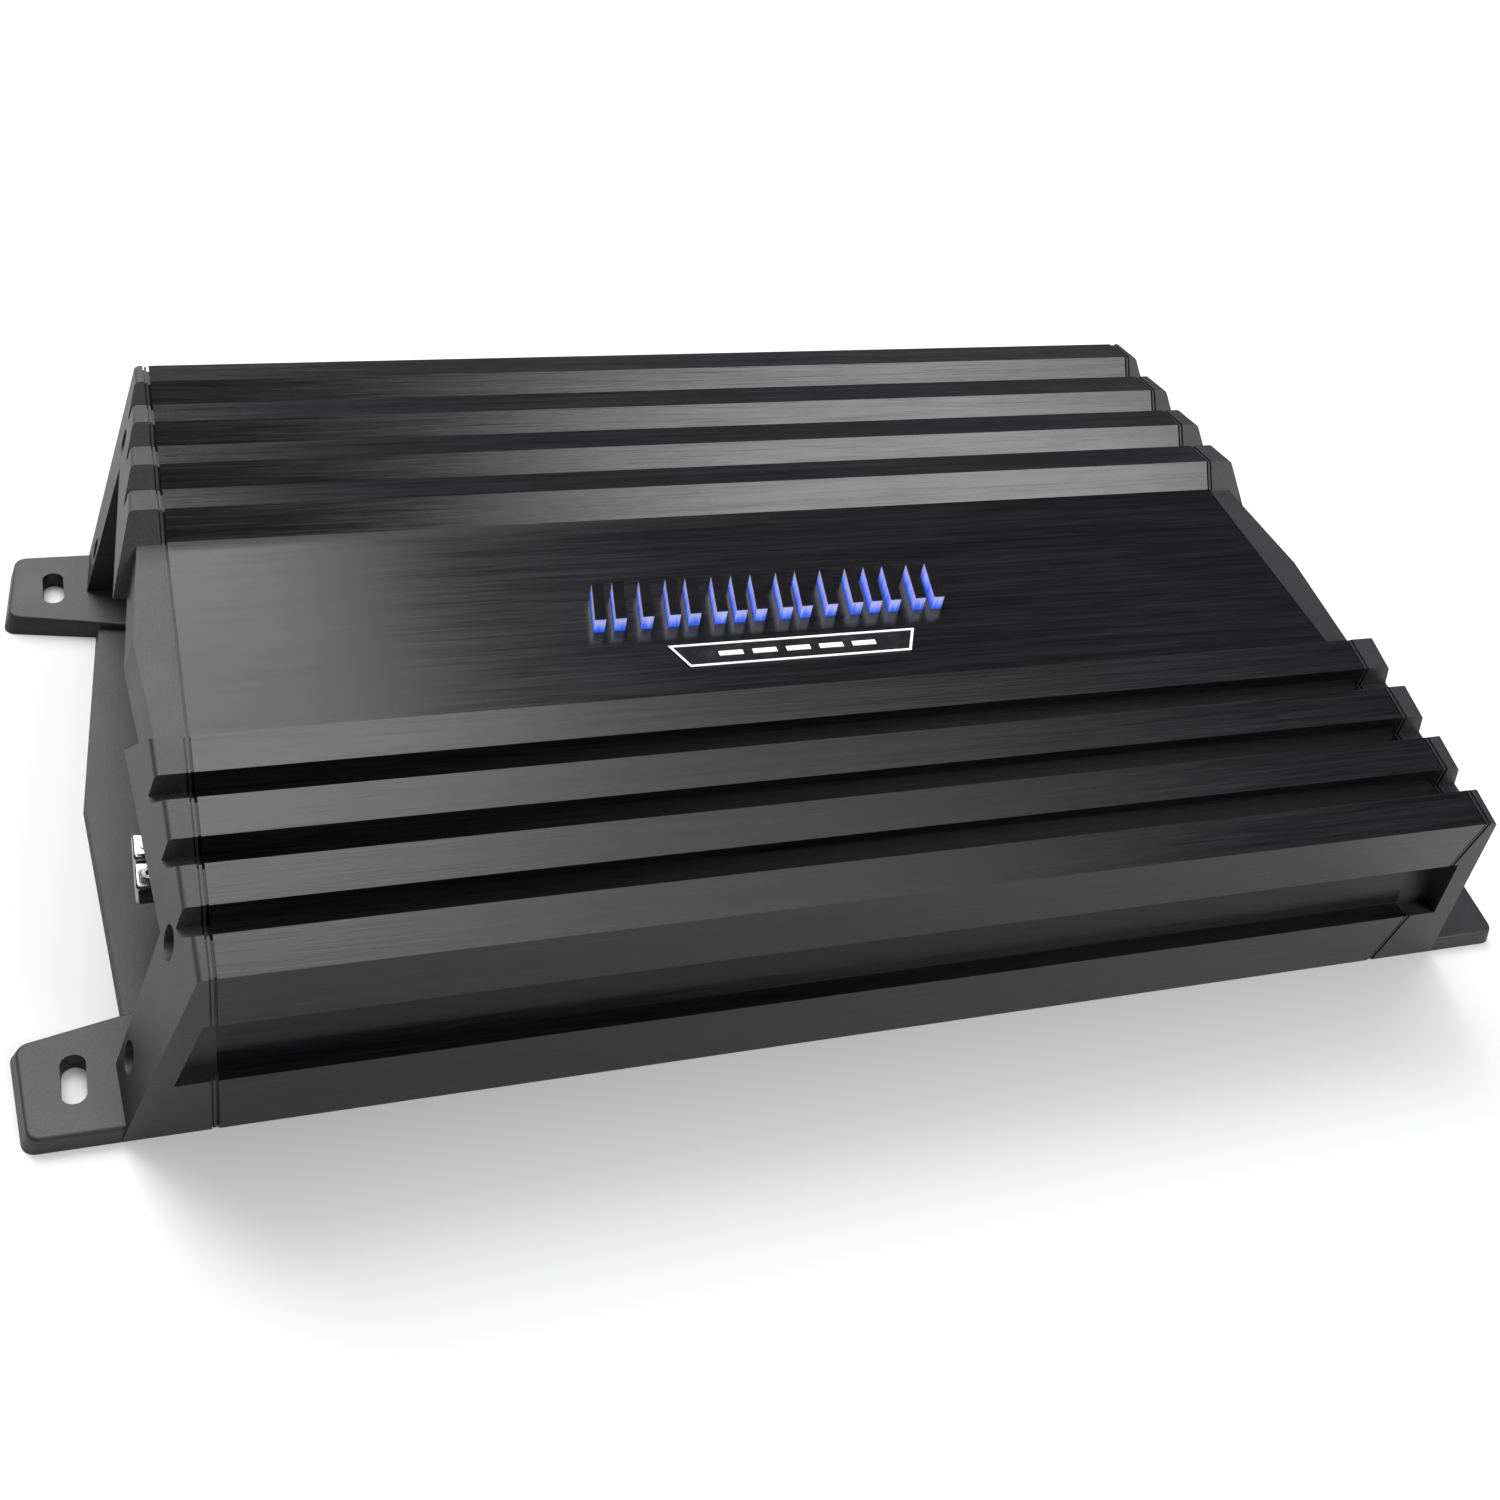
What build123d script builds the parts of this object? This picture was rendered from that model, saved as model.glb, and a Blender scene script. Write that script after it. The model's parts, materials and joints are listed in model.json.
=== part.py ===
from build123d import *
import os

os.makedirs("parts", exist_ok=True)

# Frame: +X along the housing, +Y to the rear, +Z up, origin at the bottom centre of the
# bounding box. Millimetres. The power end is at -X and the signal end at +X.

# ---- driving dimensions: housing section ----
HEIGHT = 60.0  # crest of the cooling slats
SEAM_X = 140.0  # where each end cap meets the extrusion
PANEL_Z = 54.0  # sunken centre panel
GROOVE_Z = 53.0  # floor between two slats
SLAT_COUNT = 4  # on each side of the centre panel
SLAT_PITCH = 17.6
SLAT_WIDTH = 9.3
SLAT_FALL = 1.4  # each slat top falls outward
FIRST_CREST = 37.9
CREST_SLOPE = 0.84  # run per rise of a slat's inner wall
EDGE_RADIUS = 0.45
FRONT_SLOPE = 0.137  # run per rise of the undercut front and rear faces
LIP_Z = 41.7  # underside of the upper face
BAND_Z = 20.2  # top of the lower band
CHANNEL_TOP_Y = 87.6
CHANNEL_FLOOR_Y = 90.5
TOP_INNER_Z = 49.5
WALL_INNER_Y = 84.2
REBATE_Y = 90.0
PLATE_BOTTOM = 1.5
PLATE_TOP = 3.0
BOSS_Y = 81.5
BOSS_ZS = (13.5, 48.0)  # screw channels that hold the end caps
BOSS_RADIUS = 4.0
BOSS_HOLE = 1.75

# ---- driving dimensions: end caps ----
CAP_TOP_X = 151.0  # outer face at crest height on the centre line
CAP_SWEEP = 0.08  # the outer face runs back toward the front and rear
CAP_DRAFT = 0.26  # and outward on its way down
BRIDGE_SETBACK = 3.2  # the low middle part stands back from the hoods
BRIDGE_Z = 53.6
HOOD_Z = 44.5  # lower edge of hoods and bridge
HOOD_POCKET_X = 146.0
HOOD_POCKET_Z = 50.4
LEG_Y = 76.0  # inner side of each leg
GAP_STEP = 0.6  # shadow gap at the seam
STRIP_STEP = 1.15  # a thin raised strip beside the gap
LIP_STEP = 1.5
CHANNEL_END = 5.2  # the front channel stops this far inside the outer face
CORNER_RADIUS = 1.4
SHELF_X = 163.3
SHELF_SWEEP = 0.086
SHELF_Z = 2.5
FOOT_Z = 4.5
FOOT_RADIUS = 3.0
SLOT_X = 167.7
SLOT_Y = 78.3
SLOT_LENGTH = 12.2
SLOT_WIDTH = 5.2
CAP_SEATS = ((BOSS_ZS[0], 149.5), (BOSS_ZS[1], 143.6))  # screw height, head seat
CAP_HEAD_RADIUS = 3.3

# ---- driving dimensions: emblem ----
BAR_GROUPS = (2, 1, 2, 3, 2, 1, 3, 2)
BAR_WIDTH = 2.7
BAR_PITCH = 5.0
BAR_GROUP_GAP = 1.6
BAR_CENTER_X = -1.85
BAR_DEPTH = 12.9
BAR_SLANT = 2.2
BAR_CENTER_Y = -2.2
BAR_TOP_Z = 58.0
BAR_CAP = 0.35
LIGHT_HALF_X = 51.0
LIGHT_HALF_Y = 10.0
EAR_XS = (-56.5, 56.5)
BADGE_TOP_Y = -15.7
BADGE_BOTTOM_Y = -23.3
BADGE_HALF_TOP = 31.3
BADGE_HALF_BOTTOM = 27.8
BADGE_LINE = 0.6

# ---- driving dimensions: boards, terminals and controls ----
PCB_BOTTOM = 12.0
PCB_TOP = 13.6
PCB_HALF_X = 124.0
PCB_HALF_Y = 76.0
PORT_Z = 22.5  # axis height of the wire sockets
END_PANEL = 1.5
PANEL_HALF_Y = 86.0
PANEL_LOW_Z = 3.4
PANEL_HIGH_Z = 51.0
SUPPLY_YS = (-35.0, -43.4)  # the two supply clamps
SUPPLY_HALF_Y = 3.9
SUPPLY_HALF_Z = 3.0
SUPPLY_END_X = 153.0
SUPPLY_ROUND = 1.3
SUPPLY_BORE = 1.9
SUPPLY_SCREW_X = 149.7
SUPPLY_SCREW = 1.7
REMOTE_Y = -3.0
REMOTE_RADIUS = 3.5
REMOTE_BORE = 1.6
SPEAKER_YS = (9.0, 21.0, 33.0, 45.0)
SPEAKER_RADIUS = 4.8
SPEAKER_END_X = 149.0
SPEAKER_BORE = 2.4
TERMINAL_INNER_X = 125.0
BORE_END_X = 133.0
BASE_INNER_X = 126.0
BASE_OUTER_X = 143.0
BASE_FOOT_X = 116.0
BASE_Z = (9.0, 33.0)
SUPPLY_BLOCK_Y = (-50.0, -9.05)
REMOTE_BLOCK_Y = (-8.95, 2.95)
SPEAKER_BLOCK_HALF = 5.95
TERMINAL_FIT = 0.1
BUS_BAR_HALF = 2.0
BUS_BAR = 1.5
FUSE_YS = (-70.0, -63.5, -57.0)
FUSE_Z = 22.0
KNOBS = {"gain": -12.0, "low_pass": 5.0, "subsonic": 22.0, "bass_boost": 39.0}  # name, y
KNOB_Z = 33.5
KNOB_RADIUS = 5.2
KNOB_X = (142.8, 150.4)
SHAFT_RADIUS = 3.0
SHAFT_X = (130.0, 149.0)
SHAFT_CLEARANCE = 0.05
BUSH_X = 142.4
CONTROL_BOARD_X = (121.0, 122.6)
POT_FRONT_X = 134.0
SWITCHES = {"phase": -3.5, "input_mode": 30.5}  # name, y
SWITCH_Z = 19.5
SWITCH_TRAVEL = 4.0
RCA_YS = (-60.0, -42.0)
RCA_ZS = (13.5, 32.0)
RCA_RADIUS = 4.15
RCA_PIN_BORE = 1.6
RCA_INNER_X = 136.0
RCA_END_X = 150.0
REMOTE_PORT_Y = 58.0
REMOTE_PORT_Z = 19.5
LAMPS = {"power": 53.0, "protect": 63.0}  # name, y
LAMP_Z = 34.0
LAMP_RADIUS = 1.5
CLAMP_Z = 31.0
CLAMP_XS = (-96.0, -48.0, 0.0, 48.0, 96.0)
MOSFET_XS = [8.0 + 16.0 * index for index in range(-7, 7)]
MOSFET_Y = (79.4, 83.9)
MOSFET_Z = (22.0, 38.0)
CAPACITORS = [(x, 42.0) for x in (0.0, 22.0, 44.0, 66.0, 88.0)] + [(x, -44.0) for x in (-10.0, 12.0)]
CAPACITOR_RADIUS = 9.0
TOROIDS = ((-84.0, -38.0), (-40.0, -44.0))
INDUCTORS = ((-88.0, 38.0), (-62.0, 38.0), (-36.0, 38.0))
SCREW_RADIUS = 1.45  # M3
SCREW_HEAD = 2.7
BOTTOM_SCREWS = [(x, side * 87.0) for x in (-120.0, -40.0, 40.0, 120.0) for side in (-1, 1)]
STANDOFFS = [(x, side * 68.0) for x in (-104.0, -39.0, 39.0, 104.0) for side in (-1, 1)]

nodes = {}


def front_y(z):
    """Distance of the undercut front face from the centre plane at height z."""
    top_y = FIRST_CREST + (SLAT_COUNT - 1) * SLAT_PITCH + SLAT_WIDTH
    return top_y - FRONT_SLOPE * (HEIGHT - SLAT_FALL - z)


def cap_plane(side, setback=0.0):
    """Outer drafted face of a right-hand cap on one side of the centre line."""
    return Plane(origin=(CAP_TOP_X - setback, 0, HEIGHT), z_dir=(1, side * CAP_SWEEP, CAP_DRAFT))


def outer_edges(builder, setback, above):
    """Edges on the drafted outer faces whose middle lies above a height."""
    found = ShapeList()
    for side in (-1, 1):
        plane = cap_plane(side, setback)
        found += builder.edges().filter_by(
            lambda e: e.center().Z > above
            and side * e.center().Y > 0
            and abs(plane.to_local_coords(e.center()).Z) < 0.001
            and abs(plane.to_local_coords(e @ 0).Z) < 0.001
        )
    return found


def slatted_top():
    """Points of the slatted top from the centre line out to the front face."""
    points = [(0, PANEL_Z)]
    for index in range(SLAT_COUNT):
        crest = FIRST_CREST + index * SLAT_PITCH
        base = GROOVE_Z if index else PANEL_Z
        if index:
            points.append((crest - SLAT_PITCH + SLAT_WIDTH, GROOVE_Z))
        points.append((crest - CREST_SLOPE * (HEIGHT - base), base))
        points.append((crest, HEIGHT))
        points.append((crest + SLAT_WIDTH, HEIGHT - SLAT_FALL))
    return points


def section_face(half):
    """A closed outline, filled, from its half on the positive side."""
    Polygon(*half, *[(-y, z) for y, z in reversed(half) if y > 0], align=None)


def round_crests(sketch):
    """Small radii along the slats' top edges."""
    fillet(sketch.vertices().filter_by(lambda v: v.Z > HEIGHT - SLAT_FALL - 0.2), radius=EDGE_RADIUS)


CAP_HALF = slatted_top() + [(front_y(0), 0)]
SHELL_HALF = slatted_top() + [
    (front_y(LIP_Z), LIP_Z),
    (CHANNEL_TOP_Y, LIP_Z),
    (CHANNEL_FLOOR_Y, BAND_Z),
    (front_y(BAND_Z), BAND_Z),
    (front_y(0), 0),
    (REBATE_Y, 0),
    (REBATE_Y, PLATE_TOP),
    (WALL_INNER_Y, PLATE_TOP),
    (WALL_INNER_Y, TOP_INNER_Z),
]


def bar_centers():
    """X of every light bar, spaced in groups and centred on the panel."""
    places = []
    x = 0.0
    for count in BAR_GROUPS:
        for _ in range(count):
            places.append(x)
            x += BAR_PITCH
        x += BAR_GROUP_GAP
    middle = (places[0] + places[-1]) / 2
    return [place - middle + BAR_CENTER_X for place in places]


def slanted_bar(x, y, half_width, half_depth, slant):
    """One filled parallelogram on the current sketch."""
    Polygon(
        (x - half_width - slant, y - half_depth),
        (x + half_width - slant, y - half_depth),
        (x + half_width + slant, y + half_depth),
        (x - half_width + slant, y + half_depth),
        align=None,
    )


def bar_faces(grow):
    """The outlines of all light bars, grown all round."""
    for x in bar_centers():
        slanted_bar(x, BAR_CENTER_Y, BAR_WIDTH / 2 + grow, BAR_DEPTH / 2 + grow, BAR_SLANT / 2)


def block(x, y, z, mode=Mode.ADD):
    """A box given by its (low, high) range along each axis."""
    center = tuple((low + high) / 2 for low, high in (x, y, z))
    with Locations(center):
        Box(x[1] - x[0], y[1] - y[0], z[1] - z[0], mode=mode)


def rod(x, y, z, radius, mode=Mode.ADD):
    """A cylinder along X, from x[0] to x[1]."""
    with Locations(Location(((x[0] + x[1]) / 2, y, z), (0, 90, 0))):
        Cylinder(radius, abs(x[1] - x[0]), mode=mode)


def post(x, y, z, radius, mode=Mode.ADD):
    """A cylinder along Z, from z[0] to z[1]."""
    with Locations((x, y, (z[0] + z[1]) / 2)):
        Cylinder(radius, z[1] - z[0], mode=mode)


# ---- housing ----
with BuildPart() as heatsink:
    with BuildSketch(Plane.YZ.offset(-SEAM_X)) as shell_section:
        section_face(SHELL_HALF + [(0, TOP_INNER_Z)])
        round_crests(shell_section)
        with Locations(*[(side * BOSS_Y, z) for side in (-1, 1) for z in BOSS_ZS]):
            Circle(BOSS_RADIUS)
            Circle(BOSS_HOLE, mode=Mode.SUBTRACT)
    extrude(amount=2 * SEAM_X)
    with BuildSketch(Plane.XY.offset(TOP_INNER_Z - 1)):
        bar_faces(0.15)
    extrude(amount=PANEL_Z - TOP_INNER_Z + 2, mode=Mode.SUBTRACT)
    for x in EAR_XS:
        post(x, BAR_CENTER_Y, (TOP_INNER_Z - 1, TOP_INNER_Z + 3), 1.3, Mode.SUBTRACT)
    for x, y in BOTTOM_SCREWS:
        post(x, y, (PLATE_TOP - 1, PLATE_TOP + 7), 1.5, Mode.SUBTRACT)
    for side in (-1, 1):
        with Locations(*[Location((x, side * (WALL_INNER_Y + 0.8), CLAMP_Z), (90, 0, 0)) for x in CLAMP_XS]):
            Cylinder(1.3, 4.0, mode=Mode.SUBTRACT)
nodes["heatsink"] = heatsink

with BuildPart() as bottom_plate:
    block((-SEAM_X + 0.2, SEAM_X - 0.2), (-REBATE_Y + 0.2, REBATE_Y - 0.2), (PLATE_BOTTOM, PLATE_TOP))
    for x, y in BOTTOM_SCREWS + STANDOFFS:
        post(x, y, (PLATE_BOTTOM - 1, PLATE_TOP + 1), 1.6, Mode.SUBTRACT)
nodes["bottom_plate"] = bottom_plate

with BuildPart() as bottom_screws:
    for x, y in BOTTOM_SCREWS + STANDOFFS:
        post(x, y, (PLATE_BOTTOM, PLATE_TOP + 4), SCREW_RADIUS)
        post(x, y, (0.2, PLATE_BOTTOM), SCREW_HEAD)
        with Locations((x, y, 0.4)):
            Box(3.0, 0.6, 0.8, mode=Mode.SUBTRACT)
            Box(0.6, 3.0, 0.8, mode=Mode.SUBTRACT)
nodes["bottom_screws"] = bottom_screws

# ---- end caps ----
with BuildPart() as channel_core:
    for side in (-1, 1):
        with BuildSketch(Plane.YZ.offset(SEAM_X - 1)):
            with BuildLine():
                Polyline(
                    (side * CHANNEL_TOP_Y, LIP_Z),
                    (side * (front_y(LIP_Z) + 2), LIP_Z),
                    (side * (front_y(BAND_Z) + 2), BAND_Z),
                    (side * CHANNEL_FLOOR_Y, BAND_Z),
                    close=True,
                )
            make_face()
        extrude(amount=30)
    for side in (-1, 1):
        split(bisect_by=cap_plane(side, CHANNEL_END), keep=Keep.BOTTOM)

BRIDGE_LOW_Y = FIRST_CREST - CREST_SLOPE * (HEIGHT - HOOD_Z)
BRIDGE_HIGH_Y = FIRST_CREST - CREST_SLOPE * (HEIGHT - BRIDGE_Z)
with BuildPart() as bridge:
    with BuildSketch(Plane.YZ.offset(SEAM_X + GAP_STEP)):
        section_face([(BRIDGE_HIGH_Y, BRIDGE_Z), (BRIDGE_LOW_Y, HOOD_Z)])
    extrude(amount=20)
    for side in (-1, 1):
        split(bisect_by=cap_plane(side, BRIDGE_SETBACK), keep=Keep.BOTTOM)

with BuildPart() as foot:
    for side in (-1, 1):
        with BuildSketch(Plane.XY) as foot_low:
            with BuildLine():
                Polyline(
                    (SEAM_X + 6, side * 60.6),
                    (180.4, side * 66.4),
                    (178.1, side * front_y(0)),
                    (SEAM_X + 6, side * front_y(0)),
                    close=True,
                )
            make_face()
            fillet(foot_low.vertices().filter_by(lambda v: v.X > SEAM_X + 10), radius=FOOT_RADIUS)
        with BuildSketch(Plane.XY.offset(FOOT_Z)) as foot_high:
            with BuildLine():
                Polyline(
                    (SEAM_X + 6, side * 61.0),
                    (178.9, side * 68.2),
                    (176.8, side * (front_y(0) - 0.2)),
                    (SEAM_X + 6, side * (front_y(0) - 0.2)),
                    close=True,
                )
            make_face()
            fillet(foot_high.vertices().filter_by(lambda v: v.X > SEAM_X + 10), radius=FOOT_RADIUS)
        loft()
    upper_edges = foot.faces().group_by(Axis.Z)[-1].edges()
    fillet(upper_edges.filter_by(lambda e: e.center().X > SEAM_X + 10), radius=0.8)
    with BuildSketch(Plane.XY.offset(-1)):
        with Locations((SLOT_X, SLOT_Y), (SLOT_X, -SLOT_Y)):
            SlotOverall(SLOT_LENGTH, SLOT_WIDTH, rotation=90)
    extrude(amount=FOOT_Z + 2, mode=Mode.SUBTRACT)

with BuildPart() as shelf:
    with BuildSketch(Plane.XY):
        with BuildLine():
            Polyline((SEAM_X, -LEG_Y), (SHELF_X - SHELF_SWEEP * LEG_Y, -LEG_Y), (SHELF_X, 0),
                     (SHELF_X - SHELF_SWEEP * LEG_Y, LEG_Y), (SEAM_X, LEG_Y), close=True)
        make_face()
    with BuildSketch(Plane.XY.offset(SHELF_Z)):
        with BuildLine():
            Polyline((SEAM_X, -LEG_Y), (SHELF_X - 0.8 - SHELF_SWEEP * LEG_Y, -LEG_Y), (SHELF_X - 0.8, 0),
                     (SHELF_X - 0.8 - SHELF_SWEEP * LEG_Y, LEG_Y), (SEAM_X, LEG_Y), close=True)
        make_face()
    loft(ruled=True)

with BuildPart() as end_cap_right:
    with BuildSketch(Plane.YZ.offset(SEAM_X)) as neck:
        section_face(CAP_HALF)
        round_crests(neck)
        offset(amount=-1.1, kind=Kind.INTERSECTION, mode=Mode.REPLACE)
    extrude(amount=GAP_STEP)
    with BuildSketch(Plane.YZ.offset(SEAM_X + GAP_STEP)) as strip:
        section_face(CAP_HALF)
        round_crests(strip)
        offset(amount=-0.2, kind=Kind.INTERSECTION, mode=Mode.REPLACE)
    extrude(amount=STRIP_STEP - GAP_STEP)
    with BuildSketch(Plane.YZ.offset(SEAM_X + STRIP_STEP)) as strip_groove:
        section_face(CAP_HALF)
        round_crests(strip_groove)
        offset(amount=-0.8, kind=Kind.INTERSECTION, mode=Mode.REPLACE)
    extrude(amount=LIP_STEP - STRIP_STEP)
    with BuildSketch(Plane.YZ.offset(SEAM_X + LIP_STEP)) as hood_section:
        section_face(CAP_HALF)
        round_crests(hood_section)
    extrude(amount=28)
    for side in (-1, 1):
        split(bisect_by=cap_plane(side), keep=Keep.BOTTOM)
    fillet(outer_edges(end_cap_right, 0, HEIGHT - SLAT_FALL - 0.3), radius=CORNER_RADIUS)
    with BuildSketch(Plane.YZ.offset(SEAM_X + LIP_STEP)):
        section_face([(FIRST_CREST, HEIGHT), (BRIDGE_LOW_Y, HOOD_Z)])
    extrude(amount=28, mode=Mode.SUBTRACT)
    add(bridge.part)
    add(channel_core.part, mode=Mode.SUBTRACT)
    block((SEAM_X - 1, 170), (-LEG_Y, LEG_Y), (-1, HOOD_Z), Mode.SUBTRACT)
    block((SEAM_X - 1, HOOD_POCKET_X), (-LEG_Y, LEG_Y), (HOOD_Z - 1, HOOD_POCKET_Z), Mode.SUBTRACT)
    block((SEAM_X - 1, SEAM_X + END_PANEL + 0.1), (-PANEL_HALF_Y - 0.3, PANEL_HALF_Y + 0.3),
          (PANEL_LOW_Z - 0.2, PANEL_HIGH_Z + 0.2), Mode.SUBTRACT)
    add(shelf.part)
    add(foot.part)
    for z, seat in CAP_SEATS:
        for side in (-1, 1):
            rod((SEAM_X - 1, 170), side * BOSS_Y, z, 2.2, Mode.SUBTRACT)
            rod((seat, 170), side * BOSS_Y, z, CAP_HEAD_RADIUS + 0.2, Mode.SUBTRACT)
nodes["end_cap_right"] = end_cap_right

with BuildPart() as end_cap_left:
    add(end_cap_right.part)
    mirror(about=Plane.YZ, mode=Mode.REPLACE)
nodes["end_cap_left"] = end_cap_left

with BuildPart() as cap_screws:
    for end in (-1, 1):
        for z, seat in CAP_SEATS:
            for side in (-1, 1):
                rod((end * (SEAM_X - 12), end * seat), side * BOSS_Y, z, 1.7)
                rod((end * seat, end * (seat + 2.6)), side * BOSS_Y, z, CAP_HEAD_RADIUS)
                with Locations((end * (seat + 2.2), side * BOSS_Y, z)):
                    Box(2.0, 3.6, 0.8, mode=Mode.SUBTRACT)
                    Box(2.0, 0.8, 3.6, mode=Mode.SUBTRACT)
nodes["cap_screws"] = cap_screws

# ---- lit emblem ----
LIGHT_Y = (BAR_CENTER_Y - LIGHT_HALF_Y, BAR_CENTER_Y + LIGHT_HALF_Y)
LIGHT_PLATE_Z = (TOP_INNER_Z - 2.5, TOP_INNER_Z - 0.1)
LIGHT_BOX_Z = 40.0
LED_BOARD_Z = (LIGHT_BOX_Z + 1.5, LIGHT_BOX_Z + 3.1)

with BuildPart() as light_bars:
    block((-LIGHT_HALF_X, LIGHT_HALF_X), LIGHT_Y, LIGHT_PLATE_Z)
    with BuildSketch(Plane.XY.offset(LIGHT_PLATE_Z[1])):
        bar_faces(0)
    extrude(amount=BAR_TOP_Z - BAR_CAP - LIGHT_PLATE_Z[1])
nodes["light_bars"] = light_bars

with BuildPart() as bar_caps:
    with BuildSketch(Plane.XY.offset(BAR_TOP_Z - BAR_CAP)):
        bar_faces(0)
    extrude(amount=BAR_CAP)
nodes["bar_caps"] = bar_caps

with BuildPart() as light_box:
    block((-LIGHT_HALF_X - 1.8, LIGHT_HALF_X + 1.8), (LIGHT_Y[0] - 1.8, LIGHT_Y[1] + 1.8),
          (LIGHT_BOX_Z, TOP_INNER_Z - 0.1))
    for x in EAR_XS:
        block((x - 4.5, x + 4.5), (BAR_CENTER_Y - 4, BAR_CENTER_Y + 4),
              (TOP_INNER_Z - 2.1, TOP_INNER_Z - 0.1))
    block((-LIGHT_HALF_X - 0.2, LIGHT_HALF_X + 0.2), (LIGHT_Y[0] - 0.2, LIGHT_Y[1] + 0.2),
          (LED_BOARD_Z[0], TOP_INNER_Z + 1), Mode.SUBTRACT)
    for x in EAR_XS:
        post(x, BAR_CENTER_Y, (TOP_INNER_Z - 4, TOP_INNER_Z + 1), 1.4, Mode.SUBTRACT)
nodes["light_box"] = light_box

with BuildPart() as led_board:
    block((-LIGHT_HALF_X, LIGHT_HALF_X), LIGHT_Y, LED_BOARD_Z)
nodes["led_board"] = led_board

with BuildPart() as emblem_leds:
    with Locations(*[(x, BAR_CENTER_Y, LED_BOARD_Z[1] + 0.6) for x in bar_centers()]):
        Box(2.8, 3.5, 1.2)
nodes["emblem_leds"] = emblem_leds

# ---- badge on the centre panel: an outlined plate with plain dashes ----
BADGE_HALF = [(BADGE_HALF_TOP, BADGE_TOP_Y), (BADGE_HALF_BOTTOM, BADGE_BOTTOM_Y)]
BADGE_OUTLINE = BADGE_HALF + [(-x, y) for x, y in reversed(BADGE_HALF)]
BADGE_PLATE_Z = PANEL_Z + 0.3

with BuildPart() as badge_plate:
    with BuildSketch(Plane.XY.offset(PANEL_Z)):
        Polygon(*BADGE_OUTLINE, align=None)
    extrude(amount=BADGE_PLATE_Z - PANEL_Z)
nodes["badge_plate"] = badge_plate

with BuildPart() as badge_print:
    with BuildSketch(Plane.XY.offset(BADGE_PLATE_Z)):
        Polygon(*BADGE_OUTLINE, align=None)
        offset(amount=-BADGE_LINE, kind=Kind.INTERSECTION, mode=Mode.SUBTRACT)
        with Locations((0, (BADGE_TOP_Y + BADGE_BOTTOM_Y) / 2)):
            with GridLocations(8.4, 1, 5, 1):
                Rectangle(6.0, 1.5)
    extrude(amount=0.15)
nodes["badge_print"] = badge_print

# ---- circuit boards and what holds them ----
with BuildPart() as main_pcb:
    block((-PCB_HALF_X, PCB_HALF_X), (-PCB_HALF_Y, PCB_HALF_Y), (PCB_BOTTOM, PCB_TOP))
    for x, y in STANDOFFS:
        post(x, y, (PCB_BOTTOM - 1, PCB_TOP + 1), 1.6, Mode.SUBTRACT)
nodes["main_pcb"] = main_pcb

with BuildPart() as pcb_standoffs:
    for x, y in STANDOFFS:
        post(x, y, (PLATE_TOP, PCB_BOTTOM), 3.0)
        post(x, y, (PLATE_TOP - 1, PCB_BOTTOM + 1), 1.5, Mode.SUBTRACT)
nodes["pcb_standoffs"] = pcb_standoffs

with BuildPart() as control_board:
    block(CONTROL_BOARD_X, (-22, 72), (PCB_TOP, 42))
nodes["control_board"] = control_board

# ---- end panels ----
with BuildPart() as end_panel_left:
    block((-SEAM_X - END_PANEL, -SEAM_X), (-PANEL_HALF_Y, PANEL_HALF_Y), (PANEL_LOW_Z, PANEL_HIGH_Z))
    block((-160, -130), (SUPPLY_BLOCK_Y[0] - 0.2, SPEAKER_YS[-1] + SPEAKER_BLOCK_HALF + 0.2),
          (BASE_Z[0] - 0.2, BASE_Z[1] + 0.2), Mode.SUBTRACT)
    block((-160, -130), (FUSE_YS[0] - 4.2, FUSE_YS[-1] + 4.2), (FUSE_Z - 9.2, FUSE_Z + 9.2), Mode.SUBTRACT)
    for z in BOSS_ZS:
        for side in (-1, 1):
            rod((-160, -130), side * BOSS_Y, z, 2.2, Mode.SUBTRACT)
nodes["end_panel_left"] = end_panel_left

with BuildPart() as end_panel_right:
    block((SEAM_X, SEAM_X + END_PANEL), (-PANEL_HALF_Y, PANEL_HALF_Y), (PANEL_LOW_Z, PANEL_HIGH_Z))
    for z in BOSS_ZS:
        for side in (-1, 1):
            rod((130, 160), side * BOSS_Y, z, 2.2, Mode.SUBTRACT)
    for y in RCA_YS:
        for z in RCA_ZS:
            rod((130, 160), y, z, RCA_RADIUS + 0.15, Mode.SUBTRACT)
    for y in KNOBS.values():
        rod((130, 160), y, KNOB_Z, 3.9, Mode.SUBTRACT)
    for y in SWITCHES.values():
        block((130, 160), (y - 3.9, y + 3.9), (SWITCH_Z - 1.9, SWITCH_Z + 1.9), Mode.SUBTRACT)
    for y in LAMPS.values():
        rod((130, 160), y, LAMP_Z, LAMP_RADIUS + 0.1, Mode.SUBTRACT)
    block((130, 160), (REMOTE_PORT_Y - 7.2, REMOTE_PORT_Y + 7.2), (REMOTE_PORT_Z - 6.7, REMOTE_PORT_Z + 6.7),
          Mode.SUBTRACT)
nodes["end_panel_right"] = end_panel_right


# ---- power and speaker terminals ----
def barrel(y, radius, bore, end_x, screw_radius):
    """A wire socket: a round barrel with a bore from its outer end and a tapped hole on top."""
    rod((-end_x, -TERMINAL_INNER_X), y, PORT_Z, radius)
    rod((-end_x - 1, -BORE_END_X), y, PORT_Z, bore, Mode.SUBTRACT)
    post((-end_x - BASE_OUTER_X) / 2, y, (PORT_Z, PORT_Z + radius + 1), screw_radius + 0.08, Mode.SUBTRACT)


def set_screw(y, radius, bore, end_x, screw_radius):
    """The headless clamping screw of one wire socket."""
    x = (-end_x - BASE_OUTER_X) / 2
    post(x, y, (PORT_Z + bore + 0.1, PORT_Z + radius + 0.6), screw_radius)
    post(x, y, (PORT_Z + radius - 0.6, PORT_Z + radius + 1), screw_radius * 0.55, Mode.SUBTRACT)


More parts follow.
